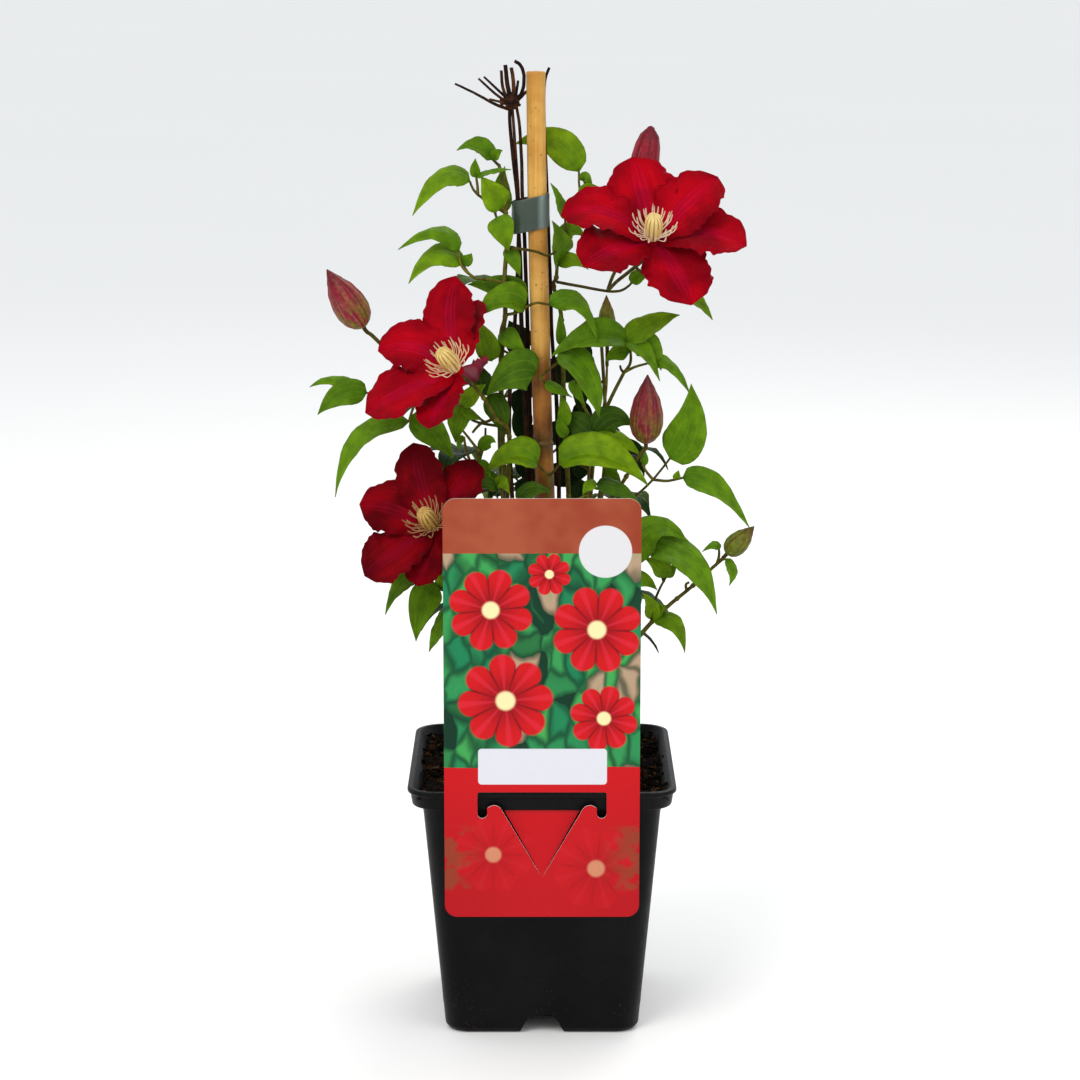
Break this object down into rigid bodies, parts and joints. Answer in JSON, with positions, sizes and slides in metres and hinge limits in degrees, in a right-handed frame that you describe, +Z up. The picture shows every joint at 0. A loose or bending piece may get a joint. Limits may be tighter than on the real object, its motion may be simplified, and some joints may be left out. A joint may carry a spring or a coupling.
{
  "type": "potted climbing plant",
  "caption": "Potted large-flowered red clematis trained up a bamboo cane, with buds, leafy shoots, a tie and a care label on a square black nursery pot",
  "frame": {"origin": "centre of the pot's foot, on the ground plane", "axes": "+Z up, the label hangs on the -Y side, +X to the right as seen from the front"},
  "size_m": [0.2491, 0.1739, 0.5442],
  "materials": {
    "pot_plastic": "satin black moulded plastic",
    "compost_fill": "rough dark fibrous potting compost",
    "label_sheet": null,
    "bamboo": "smooth honey-coloured bamboo skin",
    "tie_plastic": "grey-green soft plastic strap",
    "old_wood": "dry dark brown stems",
    "foliage": "soft matt green leaves with paler veins",
    "petals": "velvety crimson tepals with magenta ribs",
    "stamens": "cream stamens round a yellow-cream style column",
    "buds": "downy ridged buds, olive to dull purple"
  },
  "bodies": {
    "root": {"pot": "pot_plastic", "compost": "compost_fill", "care_tag": "label_sheet", "bamboo_cane": "bamboo", "tie_band": "tie_plastic", "old_stems": "old_wood", "vine_left_high": "foliage", "vine_right_high": "foliage", "vine_right_mid": "foliage", "vine_right_low": "foliage", "vine_right_bottom": "foliage", "vine_left_mid": "foliage", "vine_left_low": "foliage", "vine_middle": "foliage", "vine_back_left": "foliage", "vine_back_right": "foliage", "vine_back_middle": "foliage", "bloom_1_tepals": "petals", "bloom_1_stamens": "stamens", "bloom_2_tepals": "petals", "bloom_2_stamens": "stamens", "bloom_3_tepals": "petals", "bloom_3_stamens": "stamens", "bud_1": "buds", "bud_2": "buds", "bud_3": "buds", "bud_4": "buds", "bud_5": "buds"}
  },
  "joints": []
}
